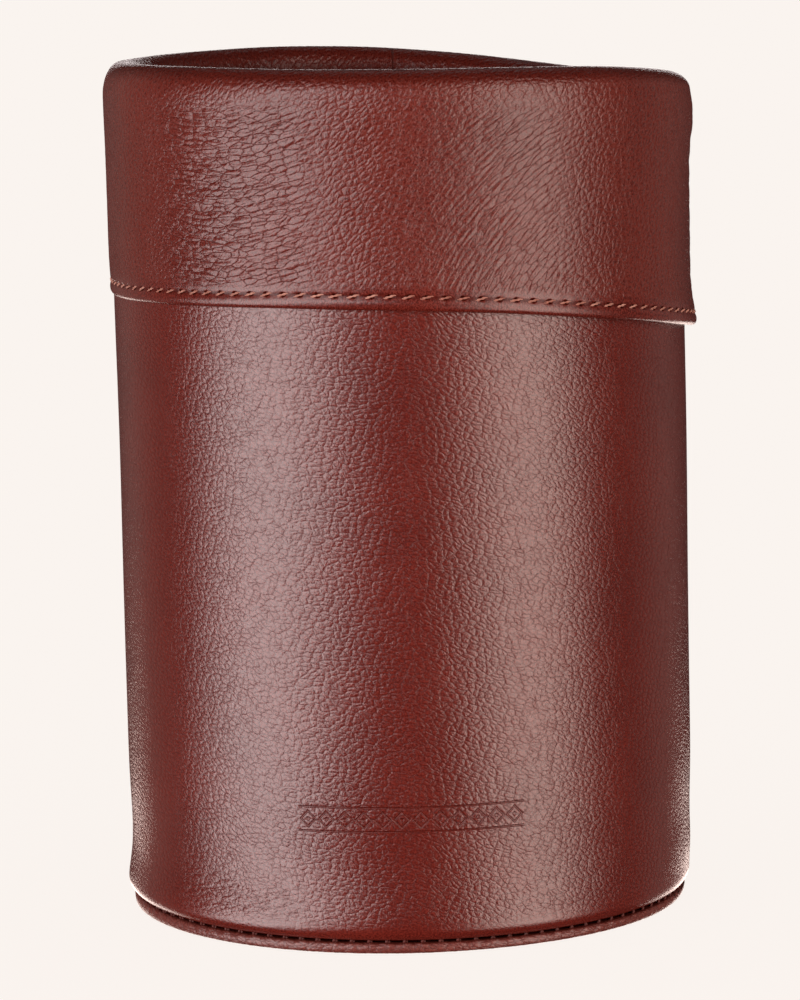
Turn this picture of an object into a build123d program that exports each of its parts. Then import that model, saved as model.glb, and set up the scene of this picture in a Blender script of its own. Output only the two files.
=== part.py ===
"""A round, open-topped leather holder for brushes, with a turned-down cuff.

The holder stands on a leather-wrapped base. Its wall is a leather panel bent round a
stiff core and joined at the back, with a leather lining inside. The cuff is one strip of
leather: it is sewn to the lining inside, goes over the rim, and hangs down outside.

Millimetres, +Z up. The origin is the centre of the base's underside. The front faces -Y
and the seams are at the back, at +Y. Each piece is its own solid, glued faces standing
GLUE_LINE apart.
"""

from build123d import *
import math
import os

os.makedirs("parts", exist_ok=True)

# Driving dimensions
WALL_RADIUS = 65.0  # outer face of the wall
HEIGHT = 193.0  # from the table to the top of the rim
WALL_LEATHER = 1.5
CORE_THICKNESS = 3.0
LINING_LEATHER = 1.2
CUFF_LEATHER = 1.4
GLUE_LINE = 0.05

# Base, from the table up
COVER_LEATHER = 0.8  # skived, so that it wraps round the board
COVER_RADIUS = 64.6
COVER_LIP_RADIUS = 55.0  # the inner edge of the leather turned over the board
BOARD_THICKNESS = 0.9
FLOOR_BOARD_THICKNESS = 2.4
TURN_IN_RADIUS = 56.0  # the inner edge of the wall leather turned under
TURN_IN_LEATHER = 1.2
CORNER_RADIUS = 4.5  # the wall's rounded foot, on its outer face
CORNER_SWEEP = 50.0  # degrees of that rounding, before the leather turns under

# Cuff
CUFF_EASE = 0.4  # the air between the wall and the cuff that hangs over it
FACING_DEPTH = 32.0  # how far the cuff reaches down inside, from the top of the rim
FOLD_HEIGHT = 6.0  # the height of the rounded rim
SOFT_RIM = 10.0  # the cuff's soft rim stands this far above the stiff core
HEM_FRONT = 141.0  # height of the cuff's lower edge at the front
HEM_SIDE_RISE = 5.8  # how much higher the hem is at the left than on the axis
HEM_FRONT_RISE = 3.6  # how much higher the hem is at the front than on the axis
HEM_ROUND = 0.65

# Back seam of the wall
SEAM_SLIT = 0.3
CORE_GAP = 14.0  # the core stops short of the seam, and leaves room for the backing
BACKING_WIDTH = 12.0
BACKING_THICKNESS = 1.2

# Sewing
STITCH_PITCH = 4.0
STITCH_LENGTH = 2.8
THREAD_RADIUS = 0.3
HEM_STITCH_RISE = 3.1  # from the cuff's lower edge to its row of stitches
FACING_STITCH_RISE = 3.0
SEAM_ROW_OFFSET = 3.0  # from the back seam to each of its two rows
SEAM_GROOVE_DEPTH = 0.5
SEAM_GROOVE_WIDTH = 0.8
BASE_STITCH_LENGTH = 2.4
CLEAR = 0.02  # between a thread and the leather that it lies on

# Radii of the layers, from the outside in
wall_inner = WALL_RADIUS - WALL_LEATHER
core_outer = wall_inner - GLUE_LINE
core_inner = core_outer - CORE_THICKNESS
lining_outer = core_inner - GLUE_LINE
lining_inner = lining_outer - LINING_LEATHER
facing_outer = lining_inner - GLUE_LINE
facing_inner = facing_outer - CUFF_LEATHER
cuff_inner = WALL_RADIUS + CUFF_EASE
cuff_outer = cuff_inner + CUFF_LEATHER

# Heights of the layers of the base
board_bottom = COVER_LEATHER + GLUE_LINE
board_top = board_bottom + BOARD_THICKNESS
cover_lip_bottom = board_top + GLUE_LINE
cover_top = cover_lip_bottom + COVER_LEATHER
wall_bottom = cover_top + GLUE_LINE
turn_in_top = wall_bottom + TURN_IN_LEATHER
floor_board_bottom = turn_in_top + GLUE_LINE
floor_board_top = floor_board_bottom + FLOOR_BOARD_THICKNESS
core_bottom = floor_board_top + GLUE_LINE
floor_top = core_bottom + LINING_LEATHER

# Heights at the rim
fold_bottom = HEIGHT - FOLD_HEIGHT
core_top = HEIGHT - SOFT_RIM
wall_top = core_top - 0.5
lining_top = core_top - 0.5
facing_bottom = HEIGHT - FACING_DEPTH
hem_on_axis = HEM_FRONT - HEM_FRONT_RISE


def hem_height(x, y):
    """Height of the cuff's lower edge, which lies in one tilted plane."""
    return hem_on_axis - HEM_SIDE_RISE * x / cuff_outer - HEM_FRONT_RISE * y / cuff_outer


def ring_point(radius, angle, height=0.0):
    """A point at an angle in degrees from the front, turning towards +X."""
    turn = math.radians(angle)
    return Vector(radius * math.sin(turn), -radius * math.cos(turn), height)


def stitch_count(radius):
    """The number of stitches in a closed row."""
    return round(2 * math.pi * radius / STITCH_PITCH)


def level_row(radius, height):
    """A place for each stitch of a level row, each lying along the row."""
    count = stitch_count(radius)
    places = []
    for index in range(count):
        angle = 360 * index / count
        along = ring_point(1, angle + 90)
        places.append(Plane(ring_point(radius, angle, height), z_dir=along))
    return places


def hem_row(radius):
    """A place for each stitch of the row that follows the cuff's hem."""
    places = []
    for plane in level_row(radius, HEM_STITCH_RISE):
        rise = hem_height(plane.origin.X, plane.origin.Y)
        slope = hem_height(plane.z_dir.X, plane.z_dir.Y) - hem_on_axis
        along = plane.z_dir + Vector(0, 0, slope)
        places.append(Plane(plane.origin + Vector(0, 0, rise), z_dir=along))
    return places


def seam_rows(distance, low, high):
    """A place for each stitch of the two upright rows beside the back seam."""
    count = int((high - low) / STITCH_PITCH)
    return [
        Plane(Vector(side * SEAM_ROW_OFFSET, distance, low + STITCH_PITCH * (index + 0.5)))
        for side in (-1, 1)
        for index in range(count)
    ]


# Outer wall: the panel of leather, its foot rounded and turned under
seam_groove_floor = WALL_RADIUS - SEAM_GROOVE_DEPTH
foot_centre = (WALL_RADIUS - CORNER_RADIUS, wall_bottom + CORNER_RADIUS + 0.25)
foot_end = (
    foot_centre[0] + CORNER_RADIUS * math.cos(math.radians(CORNER_SWEEP)),
    foot_centre[1] - CORNER_RADIUS * math.sin(math.radians(CORNER_SWEEP)),
)
inner_corner = CORNER_RADIUS - WALL_LEATHER
inner_end = (
    foot_centre[0] + inner_corner * math.cos(math.radians(CORNER_SWEEP)),
    foot_centre[1] - inner_corner * math.sin(math.radians(CORNER_SWEEP)),
)
with BuildPart() as outer_wall:
    with BuildSketch(Plane.XZ):
        with BuildLine():
            Polyline(
                (wall_inner, foot_centre[1]),
                (wall_inner, wall_top),
                (WALL_RADIUS, wall_top),
                (WALL_RADIUS, foot_centre[1]),
            )
            CenterArc(foot_centre, CORNER_RADIUS, 0, -CORNER_SWEEP)
            Polyline(
                foot_end,
                (foot_end[0] - 1.0, wall_bottom),
                (TURN_IN_RADIUS, wall_bottom),
                (TURN_IN_RADIUS, turn_in_top),
                (inner_end[0] - 1.0, turn_in_top),
                inner_end,
            )
            CenterArc(foot_centre, inner_corner, -CORNER_SWEEP, CORNER_SWEEP)
        make_face()
    revolve(axis=Axis.Z)
    with Locations((0, WALL_RADIUS, HEIGHT / 2)):
        Box(SEAM_SLIT, 30, HEIGHT, mode=Mode.SUBTRACT)
    with Locations(
        (-SEAM_ROW_OFFSET, seam_groove_floor, foot_centre[1]),
        (SEAM_ROW_OFFSET, seam_groove_floor, foot_centre[1]),
    ):
        Box(
            SEAM_GROOVE_WIDTH,
            2.0,
            HEIGHT,
            align=(Align.CENTER, Align.MIN, Align.MIN),
            mode=Mode.SUBTRACT,
        )
outer_wall.part.label = "outer_wall"

# Core: a stiff sheet bent to a tube, open at the back where the wall's seam is
with BuildPart() as wall_core:
    with BuildSketch(Plane.XY.offset(core_bottom)):
        Circle(core_outer)
        Circle(core_inner, mode=Mode.SUBTRACT)
        with Locations((0, WALL_RADIUS)):
            Rectangle(CORE_GAP, 20, mode=Mode.SUBTRACT)
    extrude(amount=core_top - core_bottom)
    top_edges = wall_core.edges().group_by(Axis.Z)[-1].filter_by(GeomType.CIRCLE)
    fillet(top_edges, radius=CORE_THICKNESS * 0.4)
    foot_edge = wall_core.edges().group_by(Axis.Z)[0].filter_by(GeomType.CIRCLE)
    chamfer(foot_edge.sort_by(SortBy.RADIUS)[-1], length=0.8)
wall_core.part.label = "wall_core"

# Backing: a strip behind the back seam, in the gap that the core leaves
with BuildPart() as seam_backing:
    with BuildSketch(Plane.XY.offset(foot_centre[1])):
        Circle(core_outer)
        Circle(core_outer - BACKING_THICKNESS, mode=Mode.SUBTRACT)
        with Locations((0, WALL_RADIUS)):
            Rectangle(BACKING_WIDTH, 30, mode=Mode.INTERSECT)
    extrude(amount=lining_top - foot_centre[1])
seam_backing.part.label = "seam_backing"

# Lining wall
with BuildPart() as lining_wall:
    with BuildSketch(Plane.XY.offset(floor_top + GLUE_LINE)):
        Circle(lining_outer)
        Circle(lining_inner, mode=Mode.SUBTRACT)
    extrude(amount=lining_top - floor_top - GLUE_LINE)
    with Locations((0, WALL_RADIUS, HEIGHT / 2)):
        Box(SEAM_SLIT, 30, HEIGHT, mode=Mode.SUBTRACT)
lining_wall.part.label = "lining_wall"

# Cuff: sewn to the lining inside, over the rim, and down to its slanting hem
fold_centre = ((facing_inner + cuff_outer) / 2, fold_bottom)
outer_half = (cuff_outer - facing_inner) / 2
inner_half = (cuff_inner - facing_outer) / 2
hem_margin = HEM_SIDE_RISE + HEM_FRONT_RISE + 2.0
drop_bottom = hem_on_axis - hem_margin
hem_plane = Plane(
    origin=(0, 0, hem_on_axis),
    z_dir=(HEM_SIDE_RISE / cuff_outer, HEM_FRONT_RISE / cuff_outer, 1),
)
with BuildPart() as cuff:
    with BuildSketch(Plane.XZ):
        with BuildLine():
            Polyline(
                (facing_outer, fold_bottom),
                (facing_outer, facing_bottom),
                (facing_inner, facing_bottom),
                (facing_inner, fold_bottom),
            )
            EllipticalCenterArc(
                fold_centre, outer_half, FOLD_HEIGHT, start_angle=0, arc_size=180
            )
            Polyline(
                (cuff_outer, fold_bottom),
                (cuff_outer, drop_bottom),
                (cuff_inner, drop_bottom),
                (cuff_inner, fold_bottom),
            )
            EllipticalCenterArc(
                fold_centre,
                inner_half,
                FOLD_HEIGHT - CUFF_LEATHER,
                start_angle=0,
                arc_size=180,
            )
        make_face()
    revolve(axis=Axis.Z)
    split(bisect_by=hem_plane, keep=Keep.TOP)
    fillet(cuff.faces().sort_by(Axis.Z)[0].edges(), radius=HEM_ROUND)
cuff.part.label = "cuff"

# Base cover: leather wrapped round the edge of the base board
edge_radius = cover_top / 2
edge_centre = (COVER_RADIUS - edge_radius, edge_radius)
inside_edge = edge_radius - COVER_LEATHER
with BuildPart() as base_cover:
    with BuildSketch(Plane.XZ):
        with BuildLine():
            Line((0, COVER_LEATHER), (0, 0))
            Line((0, 0), (edge_centre[0], 0))
            CenterArc(edge_centre, edge_radius, -90, 180)
            Polyline(
                (edge_centre[0], cover_top),
                (COVER_LIP_RADIUS, cover_top),
                (COVER_LIP_RADIUS, cover_lip_bottom),
                (edge_centre[0], cover_lip_bottom),
            )
            CenterArc(edge_centre, inside_edge, 90, -180)
            Line((edge_centre[0], COVER_LEATHER), (0, COVER_LEATHER))
        make_face()
    revolve(axis=Axis.Z)
base_cover.part.label = "base_cover"

# Base board, wrapped in the cover
with BuildPart() as base_board:
    with BuildSketch(Plane.XY.offset(board_bottom)):
        Circle(edge_centre[0])
    extrude(amount=BOARD_THICKNESS)
base_board.part.label = "base_board"

# Filler: levels the step inside the turned edges of the cover and of the wall
with BuildPart() as base_filler:
    with BuildSketch(Plane.XY.offset(cover_lip_bottom)):
        Circle(COVER_LIP_RADIUS - GLUE_LINE)
    extrude(amount=turn_in_top - cover_lip_bottom)
base_filler.part.label = "base_filler"

# Floor board: the core stands on it
with BuildPart() as floor_board:
    with BuildSketch(Plane.XY.offset(floor_board_bottom)):
        Circle(core_inner + 0.55)
    extrude(amount=FLOOR_BOARD_THICKNESS)
floor_board.part.label = "floor_board"

# Floor lining
with BuildPart() as floor_lining:
    with BuildSketch(Plane.XY.offset(core_bottom)):
        Circle(lining_outer)
    extrude(amount=LINING_LEATHER)
floor_lining.part.label = "floor_lining"

# Hem stitching, on the outside of the cuff
with BuildPart() as hem_stitching:
    with Locations(*hem_row(cuff_outer + THREAD_RADIUS + CLEAR)):
        Cylinder(THREAD_RADIUS, STITCH_LENGTH)
hem_stitching.part.label = "hem_stitching"

# Facing stitching, which holds the cuff's inner edge to the lining
facing_row_radius = facing_inner - THREAD_RADIUS - 3 * CLEAR
with BuildPart() as facing_stitching:
    with Locations(*level_row(facing_row_radius, facing_bottom + FACING_STITCH_RISE)):
        Cylinder(THREAD_RADIUS, STITCH_LENGTH)
facing_stitching.part.label = "facing_stitching"

# Base stitching: upright threads that close the groove between wall and base
base_row_radius = COVER_RADIUS - 0.05
base_row_height = (cover_top + foot_end[1]) / 2 + 0.35
with BuildPart() as base_stitching:
    with Locations((0, 0, base_row_height)):
        with PolarLocations(base_row_radius, stitch_count(base_row_radius)):
            Cylinder(THREAD_RADIUS * 0.8, BASE_STITCH_LENGTH)
base_stitching.part.label = "base_stitching"

# Wall seam stitching, sunk in the two grooves beside the back seam
with BuildPart() as wall_seam_stitching:
    sunk_thread = seam_groove_floor + THREAD_RADIUS + CLEAR
    with Locations(*seam_rows(sunk_thread, foot_centre[1] + 1.0, wall_top)):
        Cylinder(THREAD_RADIUS, STITCH_LENGTH)
wall_seam_stitching.part.label = "wall_seam_stitching"

# Cuff seam stitching, in two rows over the lap at the back of the cuff
with BuildPart() as cuff_seam_stitching:
    lap_thread = cuff_outer + THREAD_RADIUS
    lap_low = hem_height(0, cuff_outer) + HEM_STITCH_RISE + 2.0
    with Locations(*seam_rows(lap_thread, lap_low, fold_bottom)):
        Cylinder(THREAD_RADIUS, STITCH_LENGTH)
cuff_seam_stitching.part.label = "cuff_seam_stitching"

for piece in (
    outer_wall,
    wall_core,
    seam_backing,
    lining_wall,
    cuff,
    base_cover,
    base_board,
    base_filler,
    floor_board,
    floor_lining,
    hem_stitching,
    facing_stitching,
    base_stitching,
    wall_seam_stitching,
    cuff_seam_stitching,
):
    export_step(piece.part, f"parts/{piece.part.label}.step")
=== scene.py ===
"""A round leather brush holder with a turned-down cuff, dressed on its CAD frame.

Shapes are worked out in millimetres, in the frame's own axes: +Z up, the front at -Y,
the seams at the back. Angles round the holder start at the front and turn towards +X.
"""

import math
import bmesh
import bpy
import numpy as np
from mathutils import Matrix, Vector


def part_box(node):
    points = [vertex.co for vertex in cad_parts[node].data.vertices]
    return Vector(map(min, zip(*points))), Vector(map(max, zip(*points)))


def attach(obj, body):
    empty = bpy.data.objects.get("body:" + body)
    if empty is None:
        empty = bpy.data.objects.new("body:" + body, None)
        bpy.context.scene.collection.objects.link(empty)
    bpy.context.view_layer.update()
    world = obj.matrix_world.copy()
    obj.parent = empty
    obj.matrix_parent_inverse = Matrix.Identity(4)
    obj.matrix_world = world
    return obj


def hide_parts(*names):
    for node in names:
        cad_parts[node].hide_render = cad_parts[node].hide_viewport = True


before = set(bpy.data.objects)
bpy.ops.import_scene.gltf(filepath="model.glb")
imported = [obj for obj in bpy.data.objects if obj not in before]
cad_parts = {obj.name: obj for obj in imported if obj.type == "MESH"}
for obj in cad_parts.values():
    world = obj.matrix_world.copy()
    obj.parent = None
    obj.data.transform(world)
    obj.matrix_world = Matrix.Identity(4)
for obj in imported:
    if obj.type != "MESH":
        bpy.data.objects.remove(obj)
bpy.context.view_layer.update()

MM = 0.001
TURN = 2.0 * math.pi


def box_mm(node):
    """The lowest and highest corners of a CAD node, in millimetres."""
    low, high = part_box(node)
    return np.array(low) / MM, np.array(high) / MM


# Sizes taken from the frame
wall_high = box_mm("outer_wall")[1]
cuff_high = box_mm("cuff")[1]
lining_low, lining_high = box_mm("lining_wall")
cover_high = box_mm("base_cover")[1]
floor_low, floor_high = box_mm("floor_lining")
core_high = box_mm("wall_core")[1]
facing_row_low = box_mm("facing_stitching")[0]

WALL_RADIUS = wall_high[0]
WALL_INNER = core_high[0] + 0.05
LINING_OUTER = lining_high[0]
LINING_INNER = LINING_OUTER - 1.2
FACING_OUTER = LINING_INNER - 0.05
FACING_INNER = FACING_OUTER - 1.4
FACING_BOTTOM = facing_row_low[2] - 2.7
RIM_TOP = cuff_high[2]
STITCH_PITCH = 4.0
HEM_ROW_RISE = 3.1
FACING_ROW = FACING_BOTTOM + 3.0
RIM_MIDDLE = 62.0


# The grain of the leather, and the ornament pressed into it
GRAIN_SLANT = 0.35
PEBBLE_FACET = 0.145
SMALL_FACET = 0.055
PEBBLE_DOME = -0.04
PEBBLE_GROOVE = -0.012
CRUMPLE = 0.02
CREASE_FACET = 0.13
CREASE_DOME = -0.07
CREASE_RIPPLE = 0.035
CREASE_FINE = -0.04
CREASE_GROOVE = -0.05
MARK_DEPTH = 0.18
MARK_PITCH = 4.2
MARK_HALF = 6 * MARK_PITCH
MARK_HEIGHT = 30.3


# ---------------------------------------------------------------- shape formulas

def smooth(x, low, high):
    """A smooth step from 0 at low to 1 at high."""
    t = np.clip((x - low) / (high - low), 0.0, 1.0)
    return t * t * (3.0 - 2.0 * t)


def hump(x, centre, width):
    """A bell that is 1 at its centre."""
    return np.exp(-((x - centre) / width) ** 2)


def wander(angle, seed, lobes=(2, 3, 5, 7, 11)):
    """A slow uneven wave round the holder, between about -1 and 1."""
    draws = np.random.default_rng(seed)
    total = np.zeros_like(angle)
    for lobe in lobes:
        total += draws.uniform(0.4, 1.0) / lobe**0.5 * np.sin(lobe * angle + draws.uniform(0, TURN))
    return total / 1.6


def rim_height(angle):
    """Height of the crest of the soft rim, which is lower at the right."""
    crest = RIM_TOP - 0.5 - 2.8 * np.sin(angle) + 0.84 * np.cos(angle)
    crest += np.sin(2 * angle) + np.cos(2 * angle) - 0.6 * np.cos(3 * angle)
    return crest + 0.12 * wander(angle, 3, (9, 13, 17))


def hem_height(angle):
    """Height of the cuff's lower edge."""
    edge = 138.9 - 6.5 * np.sin(angle) + 1.7 * np.cos(angle)
    edge += 1.5 * np.cos(2 * angle) + 1.8 * np.sin(2 * angle) - 2.0 * hump(angle, -1.65, 0.7)
    return edge + 0.15 * wander(angle, 5, (9, 14, 19))


def groove_height(angle):
    """Height of the groove between the wall's foot and the base."""
    return cover_high[2] + 0.1 - 0.35 * np.sin(angle) + 0.08 * wander(angle, 8)


def base_edge(angle):
    """Radius of the edge of the base, which is tucked in at the right."""
    return cover_high[0] - 0.75 - 0.75 * np.sin(angle) + 0.5 * hump(angle, 0.9, 0.4)


def wall_radius(angle, z):
    """Radius of the outer face of the wall."""
    radius = WALL_RADIUS + 0.2 - 0.4 * hump(z, 19, 9) + 0.2 * np.sin(angle) * hump(z, 108, 28)
    radius += (0.15 - 0.75 * np.sin(angle)) * hump(z, 5, 5.5)
    return radius + 0.1 * wander(angle + 0.004 * z, 11)


def cuff_radius(angle, z):
    """Radius of the outer face of the cuff's outside leg."""
    from_rim = rim_height(angle) - z
    from_hem = z - hem_height(angle)
    radius = 66.45 + 0.3 * np.sin(angle)
    radius += (0.6 + 0.5 * np.sin(angle)) * hump(from_rim, 9, 7)
    radius += (0.45 + 0.75 * np.sin(angle)) * hump(from_hem, 1, 6)
    return radius + 0.16 * wander(angle + 0.01 * z, 14) * smooth(from_rim, 3, 12)


def facing_radius(angle, z):
    """Radius of the inner face of the cuff's inside leg."""
    soft = smooth(z, FACING_BOTTOM + 6, RIM_TOP - 12)
    return FACING_INNER - soft * (0.35 + 0.45 * wander(angle + 0.02 * z, 17))


# ---------------------------------------------------------------- mesh builders

def ring_angles(count, fine=()):
    """Angles from back to back, with closer ones in each (centre, half width, step)."""
    base = np.linspace(-math.pi, math.pi, count, endpoint=False)
    for centre, half, step in fine:
        gap = np.abs((base - centre + math.pi) % TURN - math.pi)
        base = base[gap > half]
        extra = np.arange(centre - half, centre + half + step / 2, step)
        extra = (extra + math.pi) % TURN - math.pi
        base = np.concatenate([base, extra])
    return np.unique(np.round(base, 9))


def at_angle(angle, radius, z):
    """Points at angles and radii, as an array of x, y, z."""
    return np.stack([radius * np.sin(angle), -radius * np.cos(angle), z + 0 * angle], axis=-1)


def new_object(name, points, faces):
    """A smooth mesh object from points in millimetres."""
    mesh = bpy.data.meshes.new(name)
    mesh.from_pydata((points * MM).tolist(), [], faces)
    mesh.update()
    mesh.shade_smooth()
    piece = bpy.data.objects.new(name, mesh)
    bpy.context.scene.collection.objects.link(piece)
    return piece


def set_attribute(piece, name, values):
    """Store a number or a vector for each vertex."""
    values = np.asarray(values, dtype=np.float32)
    kind = "FLOAT" if values.ndim == 1 else "FLOAT_VECTOR"
    layer = piece.data.attributes.new(name, kind, "POINT")
    layer.data.foreach_set("value" if values.ndim == 1 else "vector", values.ravel())


def sweep_rows(name, rows, start_pole=None, end_pole=None):
    """Join rows of points to a skin. Without poles the last row meets the first."""
    count = rows.shape[1]
    total = rows.shape[0]
    points = rows.reshape(-1, 3)
    faces = []
    last = total if start_pole is None else total - 1
    for j in range(last):
        low = j * count
        high = ((j + 1) % total) * count
        for i in range(count):
            k = (i + 1) % count
            faces.append((low + i, low + k, high + k, high + i))
    if start_pole is not None:
        points = np.concatenate([points, [start_pole, end_pole]])
        first = total * count
        top = (total - 1) * count
        for i in range(count):
            k = (i + 1) % count
            faces.append((first, k, i))
            faces.append((first + 1, top + i, top + k))
    return new_object(name, points, faces)


def outward(piece):
    """Turn every face outward, as a closed skin needs."""
    mesh = piece.data
    work = bmesh.new()
    work.from_mesh(mesh)
    bmesh.ops.recalc_face_normals(work, faces=work.faces)
    work.to_mesh(mesh)
    work.free()
    mesh.update()


def rows_radius(rows):
    """Distance of each point from the axis."""
    return np.hypot(rows[:, :, 0], rows[:, :, 1])


def path_length(rows):
    """Distance along the section to each row, at each angle."""
    steps = np.linalg.norm(np.diff(rows, axis=0), axis=-1).mean(axis=1)
    return np.concatenate([[0.0], np.cumsum(steps)])


# ---------------------------------------------------------------- node helpers

class Nodes:
    """Shorthand for making and linking the nodes of one tree."""

    def __init__(self, tree):
        self.tree = tree

    def make(self, kind, **settings):
        node = self.tree.nodes.new(kind)
        for key, value in settings.items():
            setattr(node, key, value)
        return node

    def put(self, socket, value):
        if isinstance(value, bpy.types.NodeSocket):
            self.tree.links.new(value, socket)
        else:
            socket.default_value = value

    def math(self, operation, a, b=0.0, clamp=False):
        node = self.make("ShaderNodeMath", operation=operation, use_clamp=clamp)
        self.put(node.inputs[0], a)
        self.put(node.inputs[1], b)
        return node.outputs[0]

    def vector(self, operation, a, b=(0.0, 0.0, 0.0)):
        node = self.make("ShaderNodeVectorMath", operation=operation)
        self.put(node.inputs[0], a)
        self.put(node.inputs[1], b)
        return node.outputs[0]

    def ramp(self, value, low, high, to_low=0.0, to_high=1.0):
        node = self.make("ShaderNodeMapRange", interpolation_type="SMOOTHSTEP")
        for socket, number in zip(node.inputs, (value, low, high, to_low, to_high)):
            self.put(socket, number)
        return node.outputs[0]

    def noise(self, coords, scale, detail=2.0, rough=0.5):
        node = self.make("ShaderNodeTexNoise", noise_dimensions="3D")
        self.put(node.inputs["Vector"], coords)
        self.put(node.inputs["Scale"], scale)
        self.put(node.inputs["Detail"], detail)
        self.put(node.inputs["Roughness"], rough)
        return node

    def cell_edge(self, coords, feature="DISTANCE_TO_EDGE"):
        """Distance to the edge of the cells of a flat Voronoi pattern, one unit across."""
        node = self.make("ShaderNodeTexVoronoi", voronoi_dimensions="2D", feature=feature)
        self.put(node.inputs["Vector"], coords)
        node.inputs["Scale"].default_value = 1.0
        node.inputs["Randomness"].default_value = 0.9
        return node.outputs["Distance"]

    def dome(self, coords, height):
        """Each cell rounded, falling by height one unit from its centre."""
        reach = self.cell_edge(coords, "F1")
        return self.math("MULTIPLY", self.math("POWER", reach, 2.0), height)

    def groove(self, edge, width, depth):
        """A narrow groove along the edges of the cells."""
        return self.ramp(edge, 0.0, width, depth, 0.0)

    def mix(self, factor, a, b):
        node = self.make("ShaderNodeMix", data_type="RGBA")
        self.put(node.inputs[0], factor)
        self.put(node.inputs[6], a)
        self.put(node.inputs[7], b)
        return node.outputs[2]

    def attribute(self, name, vector=False):
        """A stored attribute, in a material or in geometry nodes."""
        if self.tree.type == "GEOMETRY":
            kind = "FLOAT_VECTOR" if vector else "FLOAT"
            node = self.make("GeometryNodeInputNamedAttribute", data_type=kind)
            node.inputs["Name"].default_value = name
            return node.outputs["Attribute"]
        node = self.make("ShaderNodeAttribute", attribute_name=name)
        return node.outputs["Vector"] if vector else node.outputs["Fac"]


def pressed_mark(n):
    """The pressed ornament, 1 in its lines: a chain of lozenges between two rules."""
    place = n.make("ShaderNodeSeparateXYZ")
    n.put(place.inputs[0], n.attribute("mark_uv", vector=True))
    side = n.math("ABSOLUTE", place.outputs[0])
    link = n.math("SUBTRACT", n.math("FRACT", n.math("DIVIDE", place.outputs[0], MARK_PITCH)), 0.5)
    link = n.math("MULTIPLY", n.math("ABSOLUTE", link), MARK_PITCH)
    lift = n.math("ABSOLUTE", place.outputs[1])
    lozenge = n.math("ADD", n.math("DIVIDE", link, 1.7), n.math("DIVIDE", lift, 1.75))
    lozenge = n.math("ABSOLUTE", n.math("MULTIPLY", n.math("SUBTRACT", lozenge, 1.0), 1.2))
    rule = n.math("ABSOLUTE", n.math("SUBTRACT", lift, 2.7))
    reach = n.math("SQRT", n.math("ADD", n.math("POWER", link, 2.0), n.math("POWER", lift, 2.0)))
    gap = n.math("MINIMUM", n.math("MINIMUM", lozenge, rule), n.math("SUBTRACT", reach, 0.25))
    line = n.ramp(gap, 0.05, 0.28, 1.0, 0.0)
    line = n.math("MULTIPLY", line, n.ramp(side, MARK_HALF, MARK_HALF + 0.25, 1.0, 0.0))
    return n.math("MULTIPLY", line, place.outputs[2])


def centred_noise(n, coords, scale, detail, reach):
    """A flat vector that wanders by up to about half of reach either way."""
    color = n.noise(coords, scale, detail).outputs["Color"]
    return n.vector("MULTIPLY", n.vector("SUBTRACT", color, (0.5, 0.5, 0.5)), (reach, reach, 0.0))


def leather_creases(n, flow_name, amount_name, firm):
    """Long cells along the creases of one set, and finer ones inside them."""
    flow = n.attribute(flow_name, vector=True)
    amount = n.attribute(amount_name)
    bend = centred_noise(n, flow, 0.8, 3.0, 0.9)
    cells = n.vector("ADD", flow, bend)
    edge = n.cell_edge(cells)
    line = n.math("MULTIPLY", n.groove(edge, 0.08, 1.0), firm)
    line = n.math("MULTIPLY", line, amount)
    fine = n.vector("MULTIPLY", n.vector("ADD", cells, bend), (1.9, 2.3, 0.0))
    facet = n.math("MULTIPLY", n.math("MINIMUM", edge, 0.32), CREASE_FACET)
    height = n.math("ADD", n.dome(cells, CREASE_DOME), n.dome(fine, CREASE_FINE))
    height = n.math("ADD", height, facet)
    place = n.make("ShaderNodeSeparateXYZ")
    n.put(place.inputs[0], cells)
    ripple = n.math("SINE", n.math("MULTIPLY", place.outputs[1], TURN))
    height = n.math("ADD", height, n.math("MULTIPLY", ripple, CREASE_RIPPLE))
    height = n.math("MULTIPLY", height, amount)
    return n.math("ADD", height, n.math("MULTIPLY", line, CREASE_GROOVE)), line


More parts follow.
